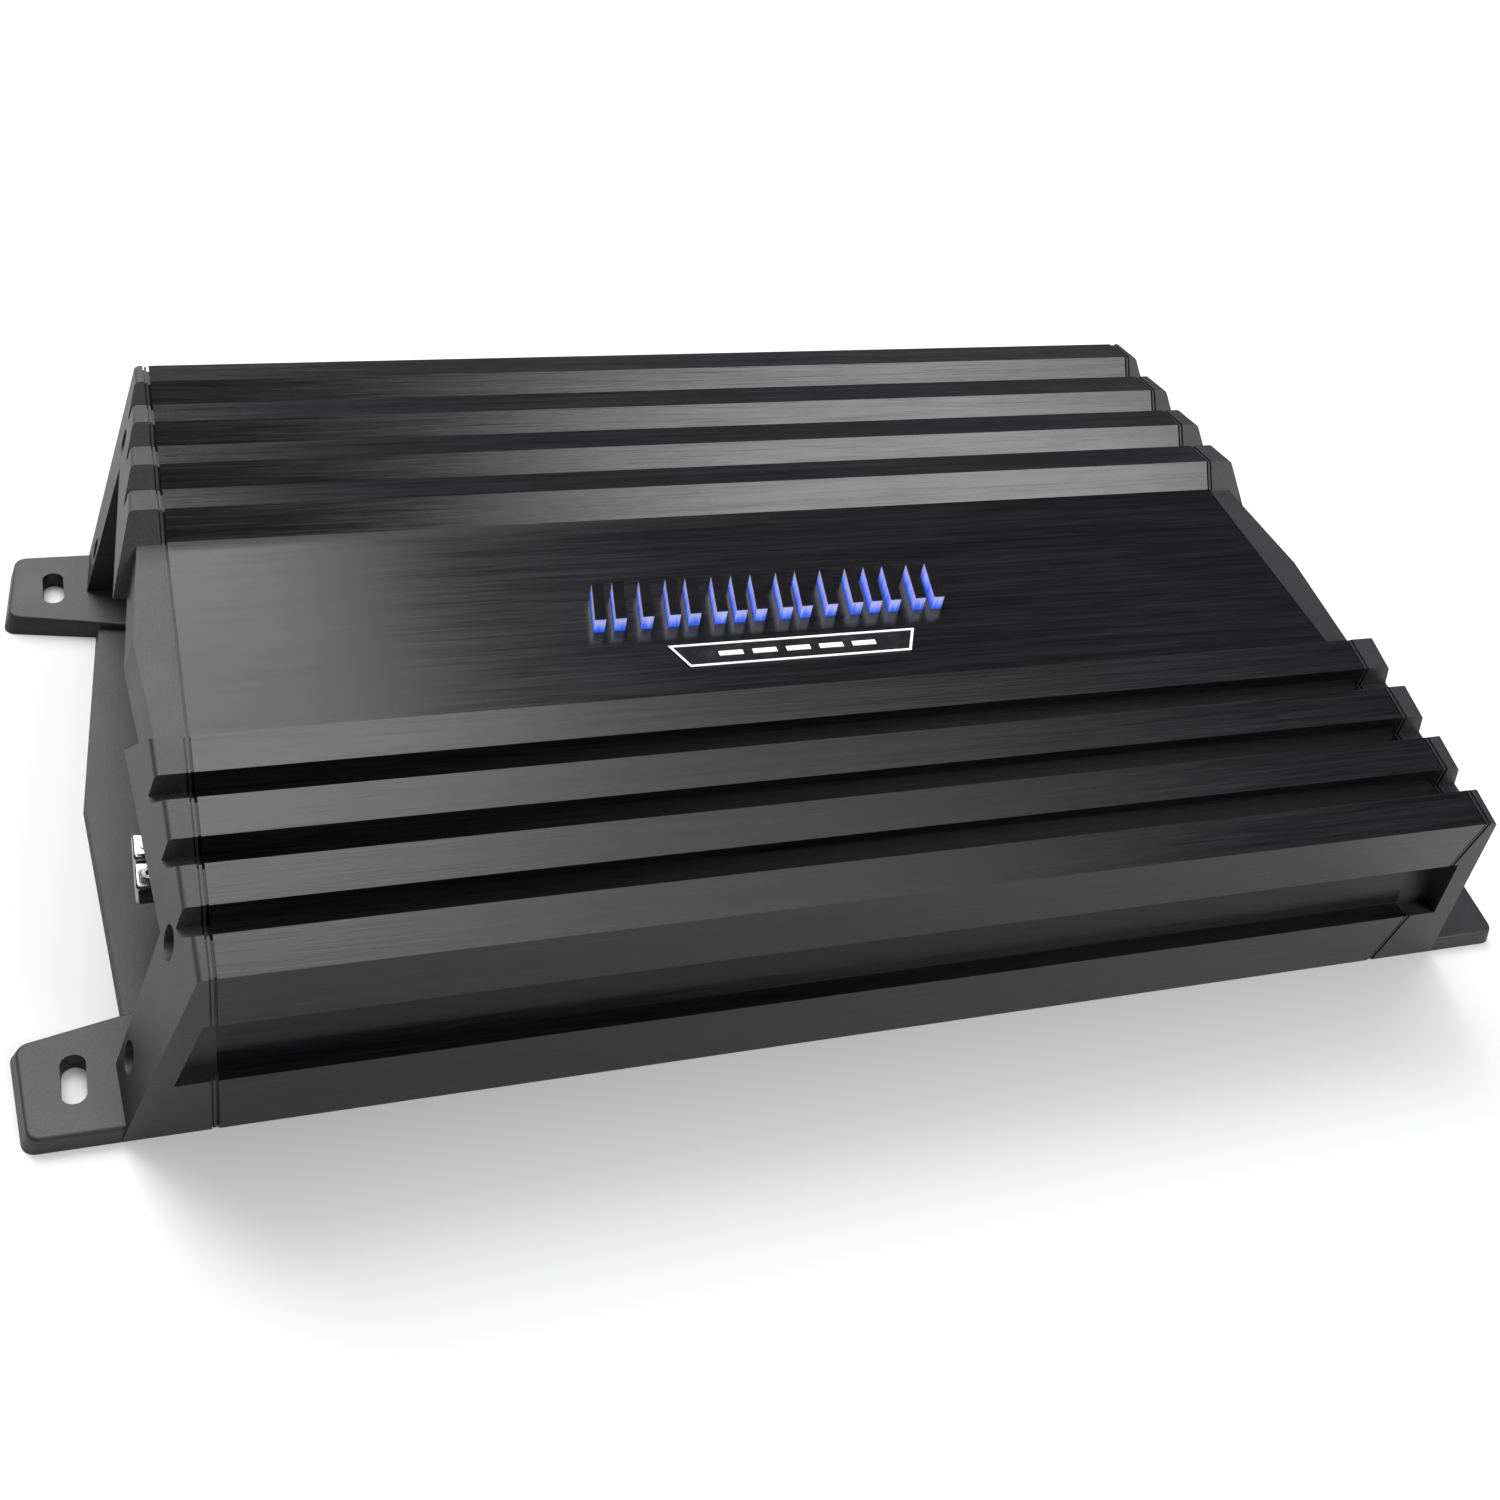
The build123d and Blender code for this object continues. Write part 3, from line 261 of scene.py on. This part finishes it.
def gloss(name, colour, smudge=0.05):
    """A smooth gloss finish, with smudges that dull it in places."""
    s = Shader(name)
    haze = s.noise(scale=180, detail=4, rough=0.6)
    return s.set(colour=s.blend(s.spread(haze), colour, lightened(colour, 1.3, 0.002)),
                 roughness=s.spread(haze, 0.05, 0.05 + smudge * 2), specular=0.5)


def lamp_lens(name, colour, strength):
    """A small lamp that glows."""
    s = Shader(name)
    haze = s.noise(scale=900, detail=2)
    shade = s.blend(s.spread(haze), colour, lightened(colour, added=0.25))
    return s.set(colour=shade, glow_colour=shade, glow=strength,
                 roughness=s.spread(haze, 0.08, 0.2), specular=0.5)


def circuit_board(name):
    """Green solder mask over copper tracks, with bare pads."""
    s = Shader(name)
    tracks = s.node("ShaderNodeTexBrick", {
        "Vector": s.place(), "Scale": 160, "Mortar Size": 0.09, "Mortar Smooth": 0.1,
        "Brick Width": 0.9, "Row Height": 0.35,
    }).outputs["Fac"]
    spots = s.node("ShaderNodeTexVoronoi", {"Vector": s.place(), "Scale": 260})
    pad = s.remap(spots.outputs["Distance"], 0.16, 0.2, 1.0, 0.0)
    mask = s.blend(tracks, (0.004, 0.05, 0.018), (0.01, 0.11, 0.035))
    return s.set(colour=s.blend(pad, mask, (0.6, 0.58, 0.5)),
                 metallic=s.math("MULTIPLY", pad, 0.9), roughness=0.33, specular=0.5,
                 normal=s.bump(tracks, 0.4, 0.00006))


def winding(name):
    """Enamelled copper wire, wound round a ring."""
    s = Shader(name)
    turns = s.node("ShaderNodeTexWave", {
        "Vector": s.place(), "Scale": 330, "Distortion": 1.2, "Detail": 1,
    }, wave_type="BANDS", bands_direction="DIAGONAL").outputs["Fac"]
    return s.set(colour=s.blend(turns, (0.16, 0.045, 0.015), (0.62, 0.24, 0.09)), metallic=0.8,
                 roughness=s.remap(turns, 0, 1, 0.35, 0.2), normal=s.bump(turns, 0.8, 0.0004))


def sleeve(name):
    """A dark shrink sleeve with a bare aluminium top."""
    s = Shader(name)
    normal = s.node("ShaderNodeNewGeometry").outputs["Normal"]
    facing_up = s.node("ShaderNodeSeparateXYZ", {"Vector": normal}).outputs["Z"]
    top = s.remap(facing_up, 0.75, 0.9, 0.0, 1.0)
    haze = s.noise(scale=300)
    dark = s.blend(s.spread(haze), (0.008, 0.012, 0.04), (0.014, 0.02, 0.06))
    return s.set(colour=s.blend(top, dark, (0.6, 0.6, 0.62)), metallic=top,
                 roughness=s.spread(haze, 0.18, 0.32), normal=s.bump(haze, 0.1, 0.0001))


# Each record slot's finish: a function above and its settings.
MATERIALS = {
    "black_extrusion": (brushed_black, {}),
    "black_cast": (cast_black, {}),
    "black_sheet": (painted, dict(colour=(0.012, 0.012, 0.013))),
    "panel": (painted, dict(colour=(0.009, 0.009, 0.010), gloss=0.38)),
    "black_screws": (metal, dict(dark=(0.03, 0.03, 0.032), light=(0.075, 0.075, 0.08),
                                 rough=(0.28, 0.45))),
    "plain_steel": (metal, dict(dark=(0.42, 0.42, 0.43), light=(0.62, 0.62, 0.63))),
    "brass_posts": (metal, dict(dark=(0.5, 0.34, 0.13), light=(0.74, 0.54, 0.26))),
    "lit_acrylic": (lit_acrylic, {}),
    "gloss_black": (gloss, dict(colour=(0.004, 0.004, 0.005))),
    "badge_black": (gloss, dict(colour=(0.008, 0.008, 0.009), smudge=0.12)),
    "white_print": (plastic, dict(colour=(0.62, 0.62, 0.63), gloss=0.4, grain=0.1)),
    "white_plastic": (plastic, dict(colour=(0.62, 0.62, 0.60))),
    "circuit_board": (circuit_board, {}),
    "blue_led": (lamp_lens, dict(colour=(0.25, 0.4, 1.0), strength=3.0)),
    "nickel_terminal": (metal, dict(dark=(0.17, 0.17, 0.18), light=(0.42, 0.42, 0.43),
                                    rough=(0.06, 0.16), stretch=(2200, 500, 500), bump=0.08)),
    "set_screws": (metal, dict(dark=(0.18, 0.18, 0.19), light=(0.38, 0.38, 0.39),
                               rough=(0.22, 0.4))),
    "terminal_moulding": (plastic, dict(colour=(0.011, 0.011, 0.012), gloss=0.42)),
    "copper_bars": (metal, dict(dark=(0.50, 0.22, 0.12), light=(0.76, 0.42, 0.27))),
    "fuse_body": (gloss, dict(colour=(0.55, 0.13, 0.01), smudge=0.08)),
    "fuse_blade": (metal, dict(dark=(0.55, 0.55, 0.56), light=(0.72, 0.72, 0.73))),
    "rca_nickel": (metal, dict(dark=(0.58, 0.58, 0.59), light=(0.8, 0.8, 0.81),
                               rough=(0.08, 0.18), stretch=(2400, 400, 400), bump=0.08)),
    "rca_white": (plastic, dict(colour=(0.66, 0.66, 0.65), gloss=0.3, spread=1.12)),
    "rca_red": (plastic, dict(colour=(0.42, 0.012, 0.010), gloss=0.3)),
    "knob_black": (plastic, dict(colour=(0.012, 0.012, 0.013), gloss=0.48, grain=0.5)),
    "slider_white": (plastic, dict(colour=(0.6, 0.6, 0.59), gloss=0.35, spread=1.15)),
    "lamp_blue": (lamp_lens, dict(colour=(0.04, 0.18, 1.0), strength=1.6)),
    "lamp_red": (lamp_lens, dict(colour=(0.35, 0.01, 0.01), strength=0.02)),
    "ferrite": (plastic, dict(colour=(0.02, 0.022, 0.024), gloss=0.55, grain=0.7)),
    "copper_winding": (winding, {}),
    "capacitor_sleeve": (sleeve, {}),
    "inductor": (plastic, dict(colour=(0.02, 0.02, 0.02), gloss=0.5, grain=0.6)),
    "chip_epoxy": (plastic, dict(colour=(0.012, 0.012, 0.012), gloss=0.5, grain=0.6)),
    "tinned_leads": (metal, dict(dark=(0.5, 0.5, 0.51), light=(0.7, 0.7, 0.71))),
    "thermal_pad": (plastic, dict(colour=(0.22, 0.22, 0.24), gloss=0.6, grain=0.6)),
}


def dress_nodes():
    """Put a material on every CAD node, and return the materials by slot."""
    made = {slot: build(slot, **settings) for slot, (build, settings) in MATERIALS.items()}
    for row in frame["record"]["subparts"]:
        mesh = nodes[row["node"]].data
        mesh.materials.clear()
        mesh.materials.append(made[row["material_slot"]])
    return made


# ---- flat outlines in the YZ plane ----
ALONG_Y = math.pi / 2  # an angle for turned(), which starts from +Z


def turned(y, z, angle, along, across=0.0):
    """A point at a distance along and across a direction that turns from +Z towards +Y."""
    return (y + along * math.sin(angle) + across * math.cos(angle),
            z + along * math.cos(angle) - across * math.sin(angle))


def rounded_strip(y, z, half_length, half_width, angle=0.0, corner_points=5):
    """A strip with round ends, lying along its direction."""
    points = []
    straight = half_length - half_width
    for end in (0, 1):
        for step in range(corner_points + 1):
            bend = math.pi * (step / corner_points + end)
            along = (1 - 2 * end) * straight + half_width * math.sin(bend)
            points.append(turned(y, z, angle, along, half_width * math.cos(bend)))
    return points


def cross(y, z, half_length, half_width):
    """A plus sign."""
    corners = [(half_width, half_length), (half_width, half_width), (half_length, half_width)]
    points = []
    for quarter in range(4):
        angle = quarter * math.pi / 2
        for across, along in corners:
            points.append(turned(y, z, angle, along, across))
    return points


def arc_band(y, z, radius, half_width, start, end, steps=40):
    """A band along part of a circle."""
    angles = [start + (end - start) * step / steps for step in range(steps + 1)]
    outer = [turned(y, z, angle, radius + half_width) for angle in angles]
    inner = [turned(y, z, angle, radius - half_width) for angle in reversed(angles)]
    return outer + inner


def outline_frame(y_low, y_high, z_low, z_high, half_width):
    """Four strips round a rectangle, each a little short so that none crosses another."""
    middle_y, middle_z = (y_low + y_high) / 2, (z_low + z_high) / 2
    short = 1.5 * half_width
    half_y, half_z = (y_high - y_low) / 2 - short, (z_high - z_low) / 2 - short
    return [rounded_strip(middle_y, z_low, half_y, half_width, ALONG_Y),
            rounded_strip(middle_y, z_high, half_y, half_width, ALONG_Y),
            rounded_strip(y_low, middle_z, half_z, half_width),
            rounded_strip(y_high, middle_z, half_z, half_width)]


def add_prisms(name, outlines, x_low, x_high, body, slot, materials, bevel=0.0):
    """One piece made of closed outlines, each a solid between two X planes."""
    built = bmesh.new()
    for outline in outlines:
        near = [built.verts.new((x_low, y, z)) for y, z in outline]
        far = [built.verts.new((x_high, y, z)) for y, z in outline]
        built.faces.new(near)
        built.faces.new(far)
        for index in range(len(outline)):
            after = (index + 1) % len(outline)
            built.faces.new((near[index], near[after], far[after], far[index]))
    bmesh.ops.recalc_face_normals(built, faces=built.faces)
    if bevel:
        rims = [edge for edge in built.edges if edge.verts[0].co.x == edge.verts[1].co.x]
        bmesh.ops.bevel(built, geom=rims, offset=bevel, segments=2, affect="EDGES")
    mesh = bpy.data.meshes.new(name)
    built.to_mesh(mesh)
    built.free()
    mesh.materials.append(materials[slot])
    piece = bpy.data.objects.new(name, mesh)
    bpy.context.collection.objects.link(piece)
    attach(piece, body)


# ---- printed marks and knob details ----
PRINT = 0.05 * MM  # thickness of the ink
LINE = 0.16 * MM  # half the width of a printed line

KNOBS = ("gain", "low_pass", "subsonic", "bass_boost")
KNOB_TURN = math.radians(150)
KNOB_TICKS = 11
SCALE_RADIUS = 6.1 * MM
TICK_START = 6.45 * MM
LONG_TICK, SHORT_TICK = 0.75 * MM, 0.45 * MM  # half lengths
POINTER_OUT = 2.9 * MM  # from the knob's axis to the pointer's middle
POINTER_HALF = (1.9 * MM, 0.34 * MM)
POINTER_DEPTH = (0.6 * MM, 0.08 * MM)  # below the knob's face
POINTER_BEVEL = 0.05 * MM
GRIP_RIBS = 24
GRIP_HALF_WIDTH = 0.14 * MM
GRIP_REACH = (-0.3 * MM, 0.22 * MM)  # inside and outside the knob's rim
GRIP_ENDS = (0.6 * MM, 1.1 * MM)  # short of the knob's back and face
GRIP_BEVEL = 0.06 * MM

SWITCHES = ("phase", "input_mode")
HALF_TRAVEL = 2.0 * MM  # the record's slides move 4 mm from rest
SWITCH_MARK_UP, SWITCH_MARK_HALF = 3.4 * MM, 0.7 * MM
SWITCH_LINE_DOWN, SWITCH_LINE_HALF = 3.2 * MM, 3.4 * MM

SOCKET_FRAME = (1.8 * MM, 1.6 * MM, 1.8 * MM)  # clear of the sockets at the sides, below, above
LAMP_RING = 2.4 * MM
LAMP_RING_GAP = 0.3  # radians, each side of the top

SPEAKER_SOCKETS = 4
SIGN_DOWN = 3.0 * MM  # from the blocks' top to the plus and minus signs
PAIR_LINE_UP = 2.2 * MM
SPEAKER_SIGN, SUPPLY_SIGN = 1.3 * MM, 1.5 * MM  # half lengths


def centre_yz(node):
    low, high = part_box(node)
    return (low.y + high.y) / 2, (low.z + high.z) / 2


def signal_marks():
    """Scales round the knobs, marks beside the switches, and lines round sockets and lamps."""
    shapes = []
    for name in KNOBS:
        y, z = centre_yz(f"knob_{name}")
        shapes.append(arc_band(y, z, SCALE_RADIUS, LINE * 0.6, -KNOB_TURN, KNOB_TURN))
        for tick in range(KNOB_TICKS):
            angle = KNOB_TURN * (2 * tick / (KNOB_TICKS - 1) - 1)
            is_long = tick in (0, KNOB_TICKS // 2, KNOB_TICKS - 1)
            half = LONG_TICK if is_long else SHORT_TICK
            shapes.append(rounded_strip(*turned(y, z, angle, TICK_START + half), half, LINE, angle))
    for name in SWITCHES:
        y, z = centre_yz(f"slider_{name}")
        middle = y + HALF_TRAVEL
        for end in (middle - HALF_TRAVEL, middle + HALF_TRAVEL):
            shapes.append(rounded_strip(end, z + SWITCH_MARK_UP, SWITCH_MARK_HALF, LINE))
        shapes.append(rounded_strip(middle, z - SWITCH_LINE_DOWN, SWITCH_LINE_HALF, LINE, ALONG_Y))
    low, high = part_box("rca_shells")
    side, below, above = SOCKET_FRAME
    shapes += outline_frame(low.y - side, high.y + side, low.z - below, high.z + above, LINE)
    for name in ("power", "protect"):
        y, z = centre_yz(f"indicator_{name}")
        shapes.append(arc_band(y, z, LAMP_RING, LINE * 0.7, LAMP_RING_GAP,
                               2 * math.pi - LAMP_RING_GAP))
    return shapes


def terminal_marks():
    """Plus and minus signs over the clamps, and a line under each speaker pair."""
    shapes = []
    base_low, base_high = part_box("speaker_terminal_base")
    sign_z = base_high.z - SIGN_DOWN
    line_z = base_low.z + PAIR_LINE_UP
    low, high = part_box("speaker_terminals")
    radius = (high.z - low.z) / 2
    pitch = (high.y - low.y - 2 * radius) / (SPEAKER_SOCKETS - 1)
    for index in range(SPEAKER_SOCKETS):
        y = low.y + radius + index * pitch
        if index % 2:
            shapes.append(rounded_strip(y, sign_z, SPEAKER_SIGN, LINE * 1.6, ALONG_Y))
            shapes.append(rounded_strip(y - pitch / 2, line_z, pitch / 2, LINE, ALONG_Y))
        else:
            shapes.append(cross(y, sign_z, SPEAKER_SIGN, LINE * 1.6))
    low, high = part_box("power_terminals")
    quarter = (high.y - low.y) / 4
    shapes.append(cross(high.y - quarter, sign_z, SUPPLY_SIGN, LINE * 1.8))
    shapes.append(rounded_strip(low.y + quarter, sign_z, SUPPLY_SIGN, LINE * 1.8, ALONG_Y))
    return shapes


def knob_grip(y, z, inner, outer):
    """Short ribs that point outward round a knob's rim."""
    ribs = []
    for rib in range(GRIP_RIBS):
        angle = 2 * math.pi * (rib + 0.5) / GRIP_RIBS
        middle = turned(y, z, angle, (inner + outer) / 2)
        ribs.append(rounded_strip(*middle, (outer - inner) / 2, GRIP_HALF_WIDTH, angle))
    return ribs


def add_details(materials):
    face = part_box("end_panel_right")[1].x
    add_prisms("signal_marks", signal_marks(), face, face + PRINT, "housing", "white_print",
               materials)
    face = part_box("speaker_terminal_base")[0].x
    add_prisms("terminal_marks", terminal_marks(), face - PRINT, face, "housing", "white_print",
               materials)
    for name in KNOBS:
        low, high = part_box(f"knob_{name}")
        y, z = centre_yz(f"knob_{name}")
        radius = (high.y - low.y) / 2
        body = f"{name}_control"
        pointer = rounded_strip(y, z + POINTER_OUT, *POINTER_HALF)
        add_prisms(f"pointer_{name}", [pointer], high.x - POINTER_DEPTH[0],
                   high.x - POINTER_DEPTH[1], body, "white_print", materials, POINTER_BEVEL)
        ribs = knob_grip(y, z, radius + GRIP_REACH[0], radius + GRIP_REACH[1])
        add_prisms(f"grip_{name}", ribs, low.x + GRIP_ENDS[0], high.x - GRIP_ENDS[1], body,
                   "knob_black", materials, GRIP_BEVEL)


# ---- stage ----
FLOOR_HALF = 6.0  # m
FLOOR_DOWN = 0.02 * MM  # below the feet, so that no two faces share a plane
SUN_STRENGTH = 1.1
SUN_SPREAD = math.radians(45)
LIGHT_DISTANCE = 1.5  # m
SOFT_BOXES = (  # name, azimuth and elevation in degrees, size in m, power in W
    ("key_left", -21.5, 48, (1.07, 1.35), 29),
    ("front_strip", 146, 39, (0.66, 0.5), 17),
    ("top_panel", 28, 68, (1.0, 0.55), 5),
)
WORLD_COLOUR = (0.95, 0.97, 1.0, 1.0)
WORLD_FADE = {  # from pale near the horizon to dim overhead, by the height of the view direction
    "From Min": 0.06, "From Max": 0.24, "To Min": 0.85, "To Max": 0.10,
}


def soft_box(name, azimuth, elevation, size, power):
    """A rectangular light that faces the object from a compass direction (0 is +Y, 90 is +X)."""
    a, e = math.radians(azimuth), math.radians(elevation)
    towards = Vector((math.sin(a) * math.cos(e), math.cos(a) * math.cos(e), math.sin(e)))
    data = bpy.data.lights.new(name, "AREA")
    data.shape = "RECTANGLE"
    data.size, data.size_y = size
    data.energy = power
    lamp = bpy.data.objects.new(name, data)
    turn = towards.to_track_quat("Z", "Y").to_matrix().to_4x4()
    lamp.matrix_world = Matrix.Translation(CENTRE + towards * LIGHT_DISTANCE) @ turn
    bpy.context.collection.objects.link(lamp)


def add_floor():
    z = cad_low.z - FLOOR_DOWN
    corners = [(x * FLOOR_HALF, y * FLOOR_HALF, z) for x, y in ((-1, -1), (1, -1), (1, 1), (-1, 1))]
    mesh = bpy.data.meshes.new("floor")
    mesh.from_pydata(corners, [], [(0, 1, 2, 3)])
    floor = bpy.data.objects.new("floor", mesh)
    bpy.context.collection.objects.link(floor)
    s = Shader("floor")
    cloud = s.noise(scale=3, detail=2)
    mesh.materials.append(s.set(colour=s.blend(cloud, (0.66, 0.66, 0.66), (0.69, 0.69, 0.69)),
                                roughness=0.7, specular=0.2))


def add_world():
    world = bpy.data.worlds.new("studio")
    world.use_nodes = True
    tree = world.node_tree
    background = tree.nodes["Background"]
    background.inputs["Color"].default_value = WORLD_COLOUR
    direction = tree.nodes.new("ShaderNodeTexCoord").outputs["Generated"]
    height = tree.nodes.new("ShaderNodeSeparateXYZ")
    fade = tree.nodes.new("ShaderNodeMapRange")
    for key, value in WORLD_FADE.items():
        fade.inputs[key].default_value = value
    tree.links.new(direction, height.inputs["Vector"])
    tree.links.new(height.outputs["Z"], fade.inputs["Value"])
    tree.links.new(fade.outputs["Result"], background.inputs["Strength"])
    bpy.context.scene.world = world


def add_lights():
    sky = bpy.data.lights.new("overhead", "SUN")
    sky.energy = SUN_STRENGTH
    sky.angle = SUN_SPREAD
    overhead = bpy.data.objects.new("overhead", sky)
    bpy.context.collection.objects.link(overhead)
    for settings in SOFT_BOXES:
        soft_box(*settings)
    add_world()
    bpy.context.scene.view_settings.view_transform = "Standard"


add_camera()
add_details(dress_nodes())
add_floor()
add_lights()
